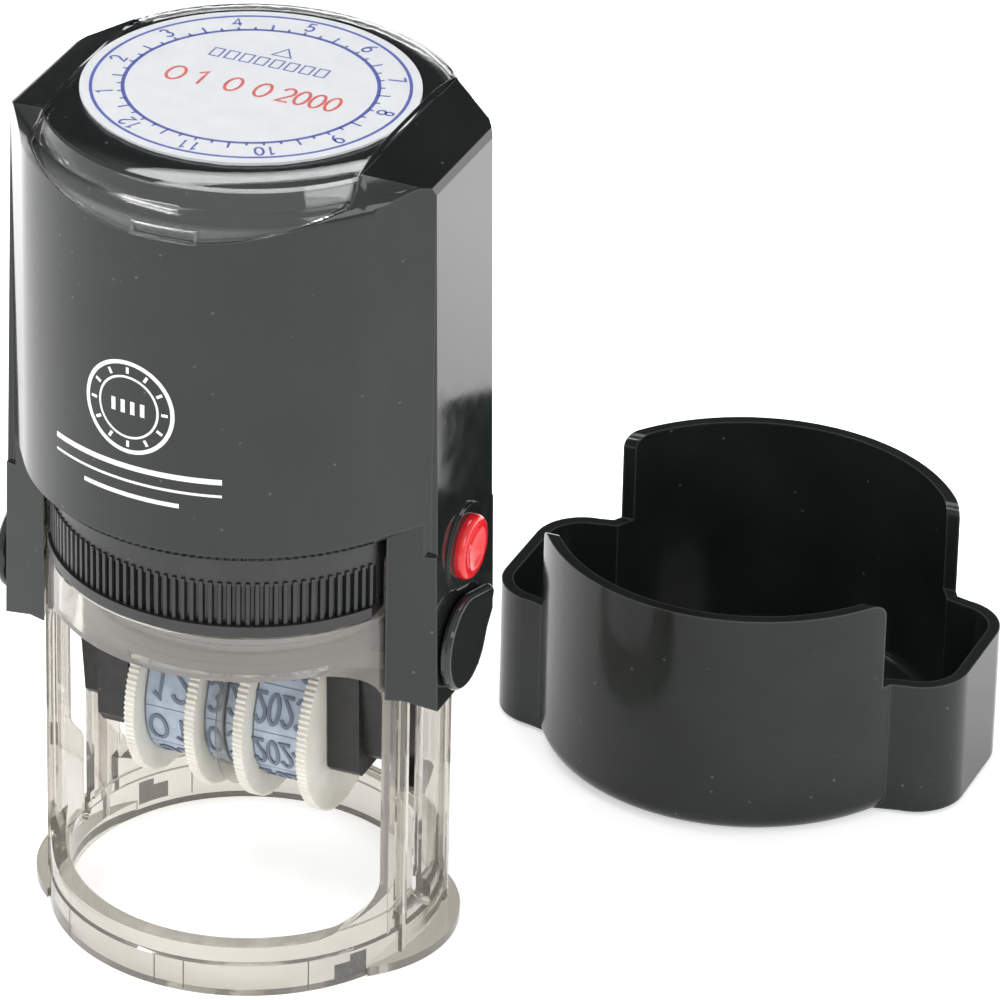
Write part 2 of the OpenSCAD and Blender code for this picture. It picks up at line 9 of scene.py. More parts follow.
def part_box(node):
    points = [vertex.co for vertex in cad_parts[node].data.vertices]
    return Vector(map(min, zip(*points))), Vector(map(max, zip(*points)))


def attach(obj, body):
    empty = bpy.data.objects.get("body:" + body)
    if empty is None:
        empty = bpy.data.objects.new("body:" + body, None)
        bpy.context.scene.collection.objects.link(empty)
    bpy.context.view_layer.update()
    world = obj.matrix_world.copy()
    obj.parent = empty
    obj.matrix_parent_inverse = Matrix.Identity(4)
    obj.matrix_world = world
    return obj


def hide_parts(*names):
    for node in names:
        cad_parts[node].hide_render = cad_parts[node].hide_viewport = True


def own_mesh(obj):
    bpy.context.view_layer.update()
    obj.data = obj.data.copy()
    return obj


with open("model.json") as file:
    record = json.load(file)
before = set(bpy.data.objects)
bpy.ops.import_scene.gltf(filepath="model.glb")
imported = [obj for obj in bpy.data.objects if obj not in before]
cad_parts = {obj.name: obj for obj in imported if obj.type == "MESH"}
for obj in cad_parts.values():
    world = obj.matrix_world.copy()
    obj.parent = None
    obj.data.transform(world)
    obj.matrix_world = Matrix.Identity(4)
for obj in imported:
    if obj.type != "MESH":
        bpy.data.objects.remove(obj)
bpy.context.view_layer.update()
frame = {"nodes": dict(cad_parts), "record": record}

MM = 0.001


# ---- Sizes taken from the frame ----

def size_of(node):
    low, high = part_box(node)
    return high - low


HOUSING_R = size_of("housing").y / 2
LABEL_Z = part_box("index_label")[1].z
FOOT_R = size_of("base_frame").y / 2
BELT_TOP_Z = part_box("month_band")[1].z
BELT_R = size_of("month_band").y / 2
WHEEL_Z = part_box("month_band")[0].z + BELT_R
DIE_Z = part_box("hour_dial")[1].z

# ---- Materials ----

# Sockets of the Map Range and colour Mix nodes, which repeat their names for each data type
RANGE_SOCKETS = (1, 2, 3, 4)
MIX_FACTOR, MIX_A, MIX_B, MIX_OUT = 0, 6, 7, 2


class Shader:
    """A node material built round one Principled node."""

    def __init__(self, name, color, rough, **inputs):
        self.material = bpy.data.materials.new(name)
        self.material.use_nodes = True
        self.tree = self.material.node_tree
        self.bsdf = self.tree.nodes["Principled BSDF"]
        self.output = self.tree.nodes["Material Output"]
        self.color = color
        self.rough = rough
        self.bsdf.inputs["Base Color"].default_value = (*color, 1)
        self.bsdf.inputs["Roughness"].default_value = rough
        for key, value in inputs.items():
            self.bsdf.inputs[key.replace("_", " ")].default_value = value
        self.place = self.node("ShaderNodeTexCoord").outputs["Object"]
        self.height = None

    def node(self, kind, settings=None, **inputs):
        made = self.tree.nodes.new(kind)
        for key, value in (settings or {}).items():
            setattr(made, key, value)
        for key, value in inputs.items():
            self.put(made.inputs[key.replace("_", " ")], value)
        return made

    def put(self, socket, value):
        if isinstance(value, bpy.types.NodeSocket):
            self.tree.links.new(value, socket)
        else:
            socket.default_value = value

    def noise(self, scale, detail=3, stretch=(1, 1, 1)):
        """Noise with features about scale metres across."""
        mapping = self.node("ShaderNodeMapping", Vector=self.place, Scale=[s / scale for s in stretch])
        made = self.node("ShaderNodeTexNoise", Vector=mapping.outputs[0], Scale=1.0, Detail=detail)
        return made.outputs["Fac"]

    def ramp(self, value, low, high, to_low, to_high):
        made = self.node("ShaderNodeMapRange", Value=value)
        for slot, number in zip(RANGE_SOCKETS, (low, high, to_low, to_high)):
            made.inputs[slot].default_value = number
        return made.outputs[0]

    def math(self, operation, a, b):
        made = self.node("ShaderNodeMath", {"operation": operation})
        self.put(made.inputs[0], a)
        self.put(made.inputs[1], b)
        return made.outputs[0]

    def mix(self, factor, a, b):
        made = self.node("ShaderNodeMix", {"data_type": "RGBA"})
        self.put(made.inputs[MIX_FACTOR], factor)
        self.put(made.inputs[MIX_A], a)
        self.put(made.inputs[MIX_B], b)
        return made.outputs[MIX_OUT]

    def shade(self, amount):
        """The base colour made lighter or darker by amount."""
        return tuple(min(1, c * amount) for c in self.color) + (1,)

    def vary(self, scale=6 * MM, spread=0.15, rough_spread=0.06):
        """Uneven colour and uneven gloss, as moulded plastic has."""
        broad = self.noise(scale)
        fine = self.noise(scale / 5, 5)
        tone = self.ramp(broad, 0.3, 0.7, 0, 1)
        self.put(self.bsdf.inputs["Base Color"],
                 self.mix(tone, self.shade(1 - spread), self.shade(1 + spread)))
        gloss = self.ramp(fine, 0.3, 0.7, self.rough - rough_spread, self.rough + rough_spread)
        self.put(self.bsdf.inputs["Roughness"], gloss)
        return self

    def bump(self, scale, depth, detail=3, stretch=(1, 1, 1)):
        """Adds height noise; depth is in metres."""
        wave = self.noise(scale, detail, stretch)
        made = self.node("ShaderNodeBump", Height=wave, Distance=depth, Strength=1.0)
        if self.height is not None:
            self.put(made.inputs["Normal"], self.height)
        self.height = made.outputs[0]
        self.put(self.bsdf.inputs["Normal"], self.height)
        return self

    def lay_over(self, mask, color):
        source = self.bsdf.inputs["Base Color"].links[0].from_socket
        self.put(self.bsdf.inputs["Base Color"], self.mix(mask, source, (*color, 1)))
        return self

    def specks(self, color, size, share, strength=0.6):
        """Dust or pits: sparse round dots."""
        cells = self.node("ShaderNodeTexVoronoi", Vector=self.place, Scale=1 / size)
        dot = self.ramp(cells.outputs["Distance"], 0.0, 0.22, 1, 0)
        pick = self.ramp(self.node("ShaderNodeSeparateColor", Color=cells.outputs["Color"]).outputs[0],
                         1 - share - 0.02, 1 - share, 0, strength)
        return self.lay_over(self.math("MULTIPLY", dot, pick), color)

    def worn_edges(self, color, radius=0.25 * MM, strength=0.5):
        """A painted highlight: a lighter line along the edges, standing for light caught by their rounding.
        """
        soft = self.node("ShaderNodeBevel", {"samples": 4}, Radius=radius).outputs[0]
        sharp = self.node("ShaderNodeNewGeometry").outputs["Normal"]
        dot = self.node("ShaderNodeVectorMath", {"operation": "DOT_PRODUCT"})
        self.put(dot.inputs[0], soft)
        self.put(dot.inputs[1], sharp)
        return self.lay_over(self.ramp(dot.outputs["Value"], 0.9, 0.99, strength, 0), color)

    def see_through(self, shadow_tint):
        """Lets light through to what is behind, without waiting for caustics."""
        path = self.node("ShaderNodeLightPath")
        clear = self.node("ShaderNodeBsdfTransparent", Color=(*shadow_tint, 1))
        either = self.math("MAXIMUM", path.outputs["Is Shadow Ray"], path.outputs["Is Diffuse Ray"])
        mixed = self.node("ShaderNodeMixShader")
        self.put(mixed.inputs[0], either)
        self.put(mixed.inputs[1], self.bsdf.outputs[0])
        self.put(mixed.inputs[2], clear.outputs[0])
        self.put(self.output.inputs["Surface"], mixed.outputs[0])
        return self


def gloss_black():
    made = Shader("black_gloss", (0.012, 0.0145, 0.014), 0.08, Specular_IOR_Level=0.46)
    made.vary(14 * MM, 0.18, 0.025).bump(11 * MM, 0.01 * MM).bump(0.7 * MM, 0.0006 * MM)
    made.specks((0.4, 0.4, 0.38), 1.1 * MM, 0.03, 0.3)
    # The lighter edge colour is a painted highlight along the edges.
    return made.worn_edges((0.12, 0.12, 0.115), 0.35 * MM, 0.35).material


def satin_black():
    made = Shader("black_satin", (0.016, 0.017, 0.018), 0.34, Specular_IOR_Level=0.55)
    made.vary(5 * MM, 0.25).bump(0.25 * MM, 0.006 * MM)
    return made.specks((0.3, 0.3, 0.3), 1.1 * MM, 0.06, 0.3).material


def matte_black():
    made = Shader("black_matte", (0.016, 0.0155, 0.015), 0.48)
    made.vary(4 * MM, 0.25, 0.1).bump(0.2 * MM, 0.01 * MM)
    return made.specks((0.25, 0.25, 0.25), 1.3 * MM, 0.05, 0.3).material


def cap_black():
    made = Shader("cap_black", (0.013, 0.016, 0.0145), 0.14, Specular_IOR_Level=0.3)
    made.vary(16 * MM, 0.25, 0.04).bump(14 * MM, 0.014 * MM).bump(0.5 * MM, 0.0015 * MM)
    made.specks((0.4, 0.4, 0.4), 1.2 * MM, 0.03, 0.3)
    # The lighter edge colour is a painted highlight along the edges.
    return made.worn_edges((0.14, 0.14, 0.135), 0.4 * MM, 0.4).material


def smoky_clear():
    made = Shader("smoky_clear", (0.67, 0.64, 0.585), 0.05, IOR=1.56, Transmission_Weight=0.88)
    made.vary(10 * MM, 0.03, 0.03).bump(7 * MM, 0.03 * MM).bump(0.8 * MM, 0.0004 * MM)
    return made.see_through((0.62, 0.6, 0.56)).material


def smoky_dark():
    made = Shader("smoky_dark", (0.1, 0.1, 0.095), 0.3, Transmission_Weight=0.2)
    return made.vary(1.5 * MM, 0.3, 0.08).bump(0.3 * MM, 0.004 * MM).material


def clear_window():
    made = Shader("clear_window", (0.96, 0.97, 0.97), 0.02, IOR=1.49, Transmission_Weight=1.0)
    made.vary(12 * MM, 0.01, 0.015).bump(10 * MM, 0.01 * MM)
    return made.see_through((0.95, 0.96, 0.96)).material


def label_paper():
    made = Shader("label_paper", (0.9, 0.9, 0.92), 0.45)
    return made.vary(3 * MM, 0.03, 0.08).bump(0.12 * MM, 0.012 * MM, 5).material


def print_ink(name, color):
    made = Shader(name, color, 0.4)
    made.vary(0.6 * MM, 0.22, 0.1).bump(0.1 * MM, 0.005 * MM)
    return made.specks((0.84, 0.84, 0.86), 0.35 * MM, 0.2, 0.7).material


def red_gloss():
    made = Shader("red_gloss", (0.72, 0.014, 0.02), 0.14, Specular_IOR_Level=0.6)
    made.vary(3 * MM, 0.1, 0.03).bump(0.4 * MM, 0.002 * MM)
    return made.specks((0.75, 0.3, 0.3), 0.9 * MM, 0.05, 0.4).material


def ivory():
    made = Shader("ivory", (0.76, 0.745, 0.68), 0.38, Subsurface_Weight=0.12, Subsurface_Scale=0.8 * MM)
    made.vary(3 * MM, 0.05, 0.08).bump(0.3 * MM, 0.008 * MM)
    return made.specks((0.5, 0.46, 0.4), 0.8 * MM, 0.04, 0.3).material


def rubber(name, color, rough=0.42):
    made = Shader(name, color, rough)
    made.vary(1.6 * MM, 0.12, 0.1).bump(0.15 * MM, 0.012 * MM, 4)
    return made.specks((0.12, 0.13, 0.17), 0.7 * MM, 0.06, 0.35).material


def steel():
    made = Shader("steel", (0.62, 0.62, 0.63), 0.28, Metallic=1.0)
    return made.vary(2 * MM, 0.1, 0.08).bump(0.08 * MM, 0.004 * MM, 2, (0.05, 1, 1)).material


def foam(name, color):
    made = Shader(name, color, 0.62, Sheen_Weight=0.2)
    made.vary(1.2 * MM, 0.3, 0.1).bump(0.25 * MM, 0.08 * MM, 5)
    return made.specks((0.01, 0.01, 0.02), 0.4 * MM, 0.4, 0.7).material


def film():
    made = Shader("separator_film", (0.8, 0.78, 0.74), 0.12, Transmission_Weight=0.9)
    return made.vary(2 * MM, 0.06).bump(0.4 * MM, 0.004 * MM).see_through((0.8, 0.78, 0.74)).material


def white_print():
    made = Shader("white_print", (0.86, 0.87, 0.87), 0.4)
    return made.vary(0.5 * MM, 0.06, 0.1).bump(0.12 * MM, 0.004 * MM).material


FINISH = {
    "smoky_clear": smoky_clear(),
    "smoky_dark": smoky_dark(),
    "black_gloss": gloss_black(),
    "black_satin": satin_black(),
    "black_matte": matte_black(),
    "cap_black": cap_black(),
    "clear_window": clear_window(),
    "label_paper": label_paper(),
    "red_gloss": red_gloss(),
    "steel": steel(),
    "pad_blue": foam("pad_blue", (0.03, 0.035, 0.16)),
    "pad_red": foam("pad_red", (0.35, 0.015, 0.03)),
    "die_rubber": rubber("die_rubber", (0.36, 0.41, 0.5)),
    "band_rubber": rubber("band_rubber", (0.42, 0.49, 0.58)),
    "ivory": ivory(),
    "separator_film": film(),
}
INK_BLUE = print_ink("print_blue", (0.12, 0.145, 0.5))
INK_RED = print_ink("print_red", (0.78, 0.16, 0.14))
CHARACTER = rubber("character_rubber", (0.15, 0.18, 0.24), 0.4)
WHITE = white_print()

# ---- CAD nodes that stay: finish and softened edges ----

# How far each node's edges are rounded, in mm
EDGE = {
    "housing": 0.45, "base_frame": 0.3, "cap": 0.35, "pivot_covers": 1.2, "ink_cassette": 0.1,
    "lock_button_left": 0.12, "lock_button_right": 0.12, "carriage_frame": 0.25, "index_window": 0.12,
    "spring_plate": 0.2, "spring_collar": 0.2, "month_band": 0.1, "tens_band": 0.1, "units_band": 0.1,
    "year_band": 0.1, "month_wheel": 0.12, "tens_wheel": 0.12, "units_wheel": 0.12, "year_wheel": 0.12,
    "hour_ring": 0.1, "hour_dial": 0.06, "text_plate": 0.06, "ink_pad_blue": 0.3, "ink_pad_red": 0.2,
    "band_anvil": 0.1, "wheel_axle": 0.1, "pivot_pins": 0.15,
}


def smooth_by_angle(limit):
    """Modifier group: every face smooth, edges sharper than the limit kept sharp."""
    group = bpy.data.node_groups.new("smooth_by_angle", "GeometryNodeTree")
    group.interface.new_socket("Geometry", in_out="INPUT", socket_type="NodeSocketGeometry")
    group.interface.new_socket("Geometry", in_out="OUTPUT", socket_type="NodeSocketGeometry")
    start = group.nodes.new("NodeGroupInput").outputs[0]
    faces = group.nodes.new("GeometryNodeSetShadeSmooth")
    edges = group.nodes.new("GeometryNodeSetShadeSmooth")
    edges.domain = "EDGE"
    angle = group.nodes.new("GeometryNodeInputMeshEdgeAngle").outputs[0]
    below = group.nodes.new("ShaderNodeMath")
    below.operation = "LESS_THAN"
    below.inputs[1].default_value = limit
    finish = group.nodes.new("NodeGroupOutput").inputs[0]
    group.links.new(angle, below.inputs[0])
    group.links.new(start, faces.inputs["Geometry"])
    group.links.new(faces.outputs[0], edges.inputs["Geometry"])
    group.links.new(below.outputs[0], edges.inputs["Shade Smooth"])
    group.links.new(edges.outputs[0], finish)
    return group


SMOOTH = smooth_by_angle(radians(24))
FLAT_LIMIT, BEVEL_LIMIT = radians(0.5), radians(32)


def soften(obj, width):
    """Joins the faces that meet in one plane, then rounds the edges that are left."""
    weld = obj.modifiers.new("weld", "WELD")
    weld.merge_threshold = 0.002 * MM
    flat = obj.modifiers.new("flat", "DECIMATE")
    flat.decimate_type = "DISSOLVE"
    flat.angle_limit = FLAT_LIMIT
    bevel = obj.modifiers.new("bevel", "BEVEL")
    bevel.width = width
    bevel.segments = 3
    bevel.limit_method = "ANGLE"
    bevel.angle_limit = BEVEL_LIMIT
    bevel.miter_outer = "MITER_ARC"
    obj.modifiers.new("smooth", "NODES").node_group = SMOOTH
    obj.modifiers.new("normals", "WEIGHTED_NORMAL").keep_sharp = True


for subpart in frame["record"]["subparts"]:
    node = frame["nodes"][subpart["node"]]
    node.data.materials.clear()
    node.data.materials.append(FINISH[subpart["material_slot"]])
    if subpart["node"] in EDGE:
        soften(node, EDGE[subpart["node"]] * MM)


# ---- Mesh helpers ----

def make_piece(name, vertices, faces, material, body, smooth=False):
    mesh = bpy.data.meshes.new(name)
    mesh.from_pydata([tuple(v) for v in vertices], [], faces)
    mesh.validate()
    mesh.update()
    if smooth:
        mesh.polygons.foreach_set("use_smooth", [True] * len(mesh.polygons))
    mesh.materials.append(material)
    piece = bpy.data.objects.new(name, mesh)
    bpy.context.scene.collection.objects.link(piece)
    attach(piece, body)
    return piece


def arc(x, y, rx, ry, start, end, steps=14):
    """Points along part of an ellipse; the angles are in degrees."""
    turns = [radians(start + (end - start) * i / steps) for i in range(steps + 1)]
    return [(x + rx * cos(a), y + ry * sin(a)) for a in turns]


def at_clock(radius, angle):
    """The point at a radius and an angle in degrees."""
    return radius * cos(radians(angle)), radius * sin(radians(angle))


def round_wall(radius, middle, base_z):
    """Placing function for a wall round Z: x runs along the wall from the angle middle, y goes up."""
    def place(x, y, height):
        angle = middle + x / radius
        return ((radius + height) * cos(angle), (radius + height) * sin(angle), base_z + y)
    return place


# Digits as strokes in a box DIGIT_W wide and 1 high
DIGIT_W = 0.6
SIX = [arc(0.3, 0.3, 0.29, 0.3, 0, 360, 24), arc(0.56, 0.33, 0.55, 0.66, 98, 180)]
DIGITS = {
    "0": [arc(0.3, 0.5, 0.3, 0.5, 90, 450, 28)],
    "1": [[(0.12, 0.8), (0.36, 1), (0.36, 0)]],
    "2": [arc(0.3, 0.7, 0.29, 0.3, 165, -35) + [(0, 0), (0.6, 0)]],
    "3": [arc(0.28, 0.76, 0.26, 0.24, 155, -75), arc(0.28, 0.27, 0.31, 0.27, 75, -155)],
    "4": [[(0.46, 0), (0.46, 1), (0, 0.3), (0.64, 0.3)]],
    "5": [[(0.55, 1), (0.1, 1), (0.06, 0.55)] + arc(0.29, 0.32, 0.31, 0.32, 125, -150)],
    "6": SIX,
    "7": [[(0, 1), (0.6, 1), (0.2, 0)]],
    "8": [arc(0.3, 0.75, 0.24, 0.25, 90, 450, 22), arc(0.3, 0.26, 0.3, 0.26, 90, 450, 22)],
    "9": [[(0.6 - x, 1 - y) for x, y in stroke] for stroke in SIX],
}


class Strokes:
    """Ribbons of a given width and height, laid on a surface by a placing function."""

    def __init__(self, place, width, low, high):
        self.place = place
        self.width = width
        self.low = low
        self.high = high
        self.vertices = []
        self.faces = []

    def line(self, points, width=None, step=None):
        """A ribbon along points; with step, it is cut up so that it can follow a curved surface."""
        half = (width or self.width) / 2
        points = self.divide(points, step) if step else points
        closed = hypot(points[0][0] - points[-1][0], points[0][1] - points[-1][1]) < 1e-9
        if closed:
            points = points[:-1]
        count = len(points)
        start = len(self.vertices)
        for i, (x, y) in enumerate(points):
            before = points[i - 1] if closed or i else points[i]
            after = points[(i + 1) % count] if closed or i < count - 1 else points[i]
            ins, out = self.unit(before, (x, y)), self.unit((x, y), after)
            ins, out = ins or out, out or ins
            side = self.unit((0, 0), (-(ins[1] + out[1]), ins[0] + out[0])) or (-ins[1], ins[0])
            reach = half / max(0.6, side[0] * -ins[1] + side[1] * ins[0])
            for sign in (1, -1):
                for level in (self.low, self.high):
                    px, py = x + sign * side[0] * reach, y + sign * side[1] * reach
                    self.vertices.append(self.place(px, py, level))
        spans = [(i, (i + 1) % count) for i in range(count if closed else count - 1)]
        for i, j in spans:
            a, b = start + 4 * i, start + 4 * j
            self.faces += [(a + 1, a + 3, b + 3, b + 1), (a, a + 1, b + 1, b), (a + 2, b + 2, b + 3, a + 3)]
        if not closed:
            a, b = start, start + 4 * (count - 1)
            self.faces += [(a, a + 2, a + 3, a + 1), (b, b + 1, b + 3, b + 2)]

    @staticmethod
    def unit(a, b):
        length = hypot(b[0] - a[0], b[1] - a[1])
        return ((b[0] - a[0]) / length, (b[1] - a[1]) / length) if length > 1e-12 else None

    @staticmethod
    def divide(points, step):
        out = [points[0]]
        for a, b in zip(points, points[1:]):
            parts = max(1, int(hypot(b[0] - a[0], b[1] - a[1]) / step))
            out += [(a[0] + (b[0] - a[0]) * i / parts, a[1] + (b[1] - a[1]) * i / parts)
                    for i in range(1, parts + 1)]
        return out

    def digits(self, text, x, y, height, width=None, gap=0.25, turn=0.0):
        """A row of digits centred on (x, y) and turned by turn; width is one digit's width."""
        wide = width or DIGIT_W * height
        pitch = wide * (1 + gap)
        total = pitch * len(text) - wide * gap
        for place, digit in enumerate(text):
            for stroke in DIGITS.get(digit, []):
                row = []
                for u, v in stroke:
                    px = -total / 2 + place * pitch + u / DIGIT_W * wide
                    py = (v - 0.5) * height
                    row.append((x + px * cos(turn) - py * sin(turn), y + px * sin(turn) + py * cos(turn)))
                self.line(row)

    def piece(self, name, material, body):
        return make_piece(name, self.vertices, self.faces, material, body)


# ---- Print on the index label ----

PRINT_LOW, PRINT_HIGH = 0.002 * MM, 0.018 * MM


def on_label(x, y, height):
    return (x, y, LABEL_Z + height)


# Radii, angles and places on the label, worked out from the 40 mm imprint
IMPRINT_R = 20 * MM
INNER_R = 16 * MM
HOUR_NUMBER_R = 18.3 * MM
HOUR_ONE_ANGLE = 210
QUARTERS = [7.5 * i for i in range(48)]
DATE_Y, DATE_H = -0.6 * MM, 3.7 * MM
WORD_Y, WORD_H = 6.9 * MM, 2.2 * MM
TRIANGLE_R, TRIANGLE_Y = 1.5 * MM, 9.9 * MM


def hour_angle(hour):
    return HOUR_ONE_ANGLE + 30 - 30 * hour


blue = Strokes(on_label, 0.32 * MM, PRINT_LOW, PRINT_HIGH)
blue.line(arc(0, 0, IMPRINT_R, IMPRINT_R, 0, 360, 180), 0.42 * MM)
blue.line(arc(0, 0, INNER_R, INNER_R, 0, 360, 180), 0.5 * MM)
for angle in QUARTERS:
    length = 1.6 if (angle - HOUR_ONE_ANGLE) % 30 == 15 else 0.75
    blue.line([at_clock(INNER_R, angle), at_clock(INNER_R + length * MM, angle)], 0.3 * MM)
for hour in range(1, 13):
    x, y = at_clock(HOUR_NUMBER_R, hour_angle(hour))
    blue.digits(str(hour), x, y, 2.1 * MM, 1.05 * MM, 0.45, radians(hour_angle(hour) - 90))
triangle = [at_clock(TRIANGLE_R, a) for a in (90, 210, 330, 90)]
blue.line([(x, y + TRIANGLE_Y) for x, y in triangle], 0.24 * MM)
# A row of empty boxes stands where a word would be
for box in range(8):
    x0, y0 = (-8.5 + 2.06 * box) * MM, WORD_Y - WORD_H / 2
    x1, y1 = x0 + 1.35 * MM, WORD_Y + WORD_H / 2
    blue.line([(x0, y0), (x1, y0), (x1, y1), (x0, y1), (x0, y0)], 0.22 * MM)
blue.piece("index_print_blue", INK_BLUE, "housing")

red = Strokes(on_label, 0.42 * MM, PRINT_LOW, PRINT_HIGH)
red.digits("01", -8.3 * MM, DATE_Y, DATE_H, 2.2 * MM, 0.55)
for x in (-2.1, 1.9):
    red.digits("0", x * MM, DATE_Y, DATE_H, 1.9 * MM)
red.digits("2000", 8.3 * MM, DATE_Y, DATE_H, 1.6 * MM, 0.3)
red.piece("index_print_red", INK_RED, "housing")

# ---- White pictogram on the front of the housing ----

MARK_ANGLE = radians(-97)
MARK_Z = 84 * MM
DIAL_R, DIAL_Y = 6.2 * MM, 1.6 * MM

mark = Strokes(round_wall(HOUSING_R, MARK_ANGLE, MARK_Z), 0.5 * MM, 0, 0.03 * MM)
mark.line(arc(0, DIAL_Y, DIAL_R, DIAL_R, 0, 360, 90), 0.55 * MM)
mark.line(arc(0, DIAL_Y, 0.68 * DIAL_R, 0.68 * DIAL_R, 0, 360, 72), 0.3 * MM)
for hour in range(12):
    x0, y0 = at_clock(0.76 * DIAL_R, 30 * hour)
    x1, y1 = at_clock(0.9 * DIAL_R, 30 * hour)
    mark.line([(x0, y0 + DIAL_Y), (x1, y1 + DIAL_Y)], 0.4 * MM)
# Three rules under the dial: height, half length and thickness, in mm
for low, half, thick in ((-6.8, 12.5, 0.75), (-8.8, 12.5, 0.35), (-10.8, 7, 0.6)):
    mark.line([(-half * MM, low * MM), (half * MM, low * MM)], thick * MM, 0.6 * MM)
for bar in (-3, -1, 1, 3):
    x = bar * 0.7 * MM
    mark.line([(x, DIAL_Y - 0.9 * MM), (x, DIAL_Y + 0.9 * MM)], 0.6 * MM)
mark.piece("housing_mark", WHITE, "housing")

# ---- Raised characters on the date bands ----

TOP_CORNER_R = 2.4 * MM
TOP_HALF_FLAT = 1.65 * MM
BAND_NUMBER_H = 3.9 * MM


def belt_path():
    """Outline of a band from the middle of its top, down the front and round: points and normals."""
    rise = BELT_TOP_Z - TOP_CORNER_R - WHEEL_Z
    lean = atan2(rise, TOP_HALF_FLAT) - acos((BELT_R - TOP_CORNER_R) / hypot(rise, TOP_HALF_FLAT))
    corner_z = WHEEL_Z + rise
    points = [(0.0, BELT_TOP_Z, 0.0, 1.0)]

    def sweep(y, z, radius, start, end, steps):
        for i in range(steps + 1):
            a = start + (end - start) * i / steps
            points.append((y + radius * cos(a), z + radius * sin(a), cos(a), sin(a)))

    sweep(-TOP_HALF_FLAT, corner_z, TOP_CORNER_R, pi / 2, pi - lean, 24)
    sweep(0, WHEEL_Z, BELT_R, pi - lean, 2 * pi + lean, 160)
    sweep(TOP_HALF_FLAT, corner_z, TOP_CORNER_R, lean, pi / 2, 24)
    points.append(points[0])
    table = np.array(points)
    steps = np.hypot(np.diff(table[:, 0]), np.diff(table[:, 1]))
    return np.concatenate([[0], np.cumsum(steps)]), table


BELT_S, BELT_TABLE = belt_path()
BELT_LENGTH = BELT_S[-1]
FIELDS = 12


def on_belt(centre_x):
    """Placing function for a band: x runs across it and y along its outline."""
    def place(x, y, height):
        along = y % BELT_LENGTH
        py, pz, ny, nz = (np.interp(along, BELT_S, BELT_TABLE[:, k]) for k in range(4))
        return (centre_x + x, py + ny * height, pz + nz * height)
    return place


def characters(name, band, texts, digit_w, gap):
    low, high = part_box(band)
    centre, half = (low.x + high.x) / 2, (high.x - low.x) / 2
    raised = Strokes(on_belt(centre), 0.48 * MM, -0.05 * MM, 0.24 * MM)
    lines = Strokes(on_belt(centre), 0.13 * MM, -0.02 * MM, 0.03 * MM)
    pitch = BELT_LENGTH / FIELDS
    for field in range(FIELDS):
        raised.digits(texts[field], 0, field * pitch, BAND_NUMBER_H, digit_w * MM, gap)
        edge = (field + 0.5) * pitch
        lines.line([(-half + 0.1 * MM, edge), (half - 0.1 * MM, edge)])
    for side in (-1, 1):
        x = side * (half - 0.12 * MM)
        lines.line([(x, BELT_LENGTH * i / 240) for i in range(241)], 0.1 * MM)
    raised.piece(name + "_characters", CHARACTER, "carriage")
    lines.piece(name + "_field_lines", CHARACTER, "carriage")


characters("month", "month_band", [f"{(8 + i) % 12 + 1:02d}" for i in range(FIELDS)], 2.3, 0.35)
characters("tens", "tens_band", [str(i % 4) for i in range(FIELDS)], 1.6, 0)
characters("units", "units_band", [str((i + 9) % 10) for i in range(FIELDS)], 1.5, 0)
characters("year", "year_band", [str(2020 + i) for i in range(FIELDS)], 1.35, 0.38)

# ---- Mirrored characters on the die ----

DIE_RELIEF = 0.8 * MM
DIE_NUMBER_R = 18.2 * MM
DIE_TICK_IN_R, DIE_TICK_OUT_R = 16.5 * MM, 17.0 * MM


def on_die(x, y, height):
    return (x, -y, DIE_Z - DIE_RELIEF + height)


dial = Strokes(on_die, 0.32 * MM, 0, 0.78 * MM)
for hour in range(1, 13):
    x, y = at_clock(DIE_NUMBER_R, hour_angle(hour))
    dial.digits(str(hour), x, y, 1.6 * MM, 0.8 * MM, 0.5, radians(hour_angle(hour) - 90))
for angle in QUARTERS:
    dial.line([at_clock(DIE_TICK_IN_R, angle), at_clock(DIE_TICK_OUT_R, angle)], 0.24 * MM)
dial.piece("hour_dial_characters", CHARACTER, "hour_dial_ring")

# ---- Prising rib on the window ----

RIB_ANGLE = radians(-87.2)
RIB_Z = 110.9 * MM
RIB_HALF_W, RIB_HALF_H = 4.2 * MM, 0.7 * MM

rib = Strokes(round_wall(HOUSING_R, RIB_ANGLE, RIB_Z), 0.35 * MM, -0.3 * MM, 0.35 * MM)
outline = [(-RIB_HALF_W, -RIB_HALF_H), (RIB_HALF_W, -RIB_HALF_H), (RIB_HALF_W, RIB_HALF_H),
           (-RIB_HALF_W, RIB_HALF_H), (-RIB_HALF_W, -RIB_HALF_H)]
rib.line(outline, step=0.5 * MM)
rib.piece("window_prising_rib", FINISH["clear_window"], "window")

# ---- Painted shade at the panel edges and lining-up keys of the foot ring ----


def foot_marks():
    """Dark strokes of painted shade, the same at the front and at the back; turn is in degrees from the
    middle.
    """
    on_foot = round_wall(FOOT_R, 0, 0)
    # Flat dark strokes: painted shade along the panel creases and in the lining-up notches of the clear
    # foot ring.
    edges = Strokes(on_foot, 0.16 * MM, -0.03 * MM, 0.02 * MM)
    key_shade = Strokes(on_foot, 1 * MM, -0.03 * MM, 0.02 * MM)
    for centre in (-90, 90):
        for turn in (-38, -3, 6, 42):
            x = FOOT_R * radians(centre + turn)
            edges.line([(x, 0.4 * MM), (x, 4.6 * MM)])
        x0 = FOOT_R * radians(centre + 50)
        x1, x2 = x0 + 2.3 * MM, x0 + 4.8 * MM
        key_shade.line([(x0, 1.9 * MM), (x1, 1.9 * MM)], 2.4 * MM, 0.5 * MM)
        key_shade.line([(x1, 2.4 * MM), (x2, 2.4 * MM)], 3.4 * MM, 0.5 * MM)
    edges.piece("foot_panel_edge_shade", FINISH["smoky_dark"], "base")
    key_shade.piece("foot_key_notch_shade", FINISH["smoky_dark"], "base")


foot_marks()

# ---- Return spring ----

WIRE_R = 0.6 * MM


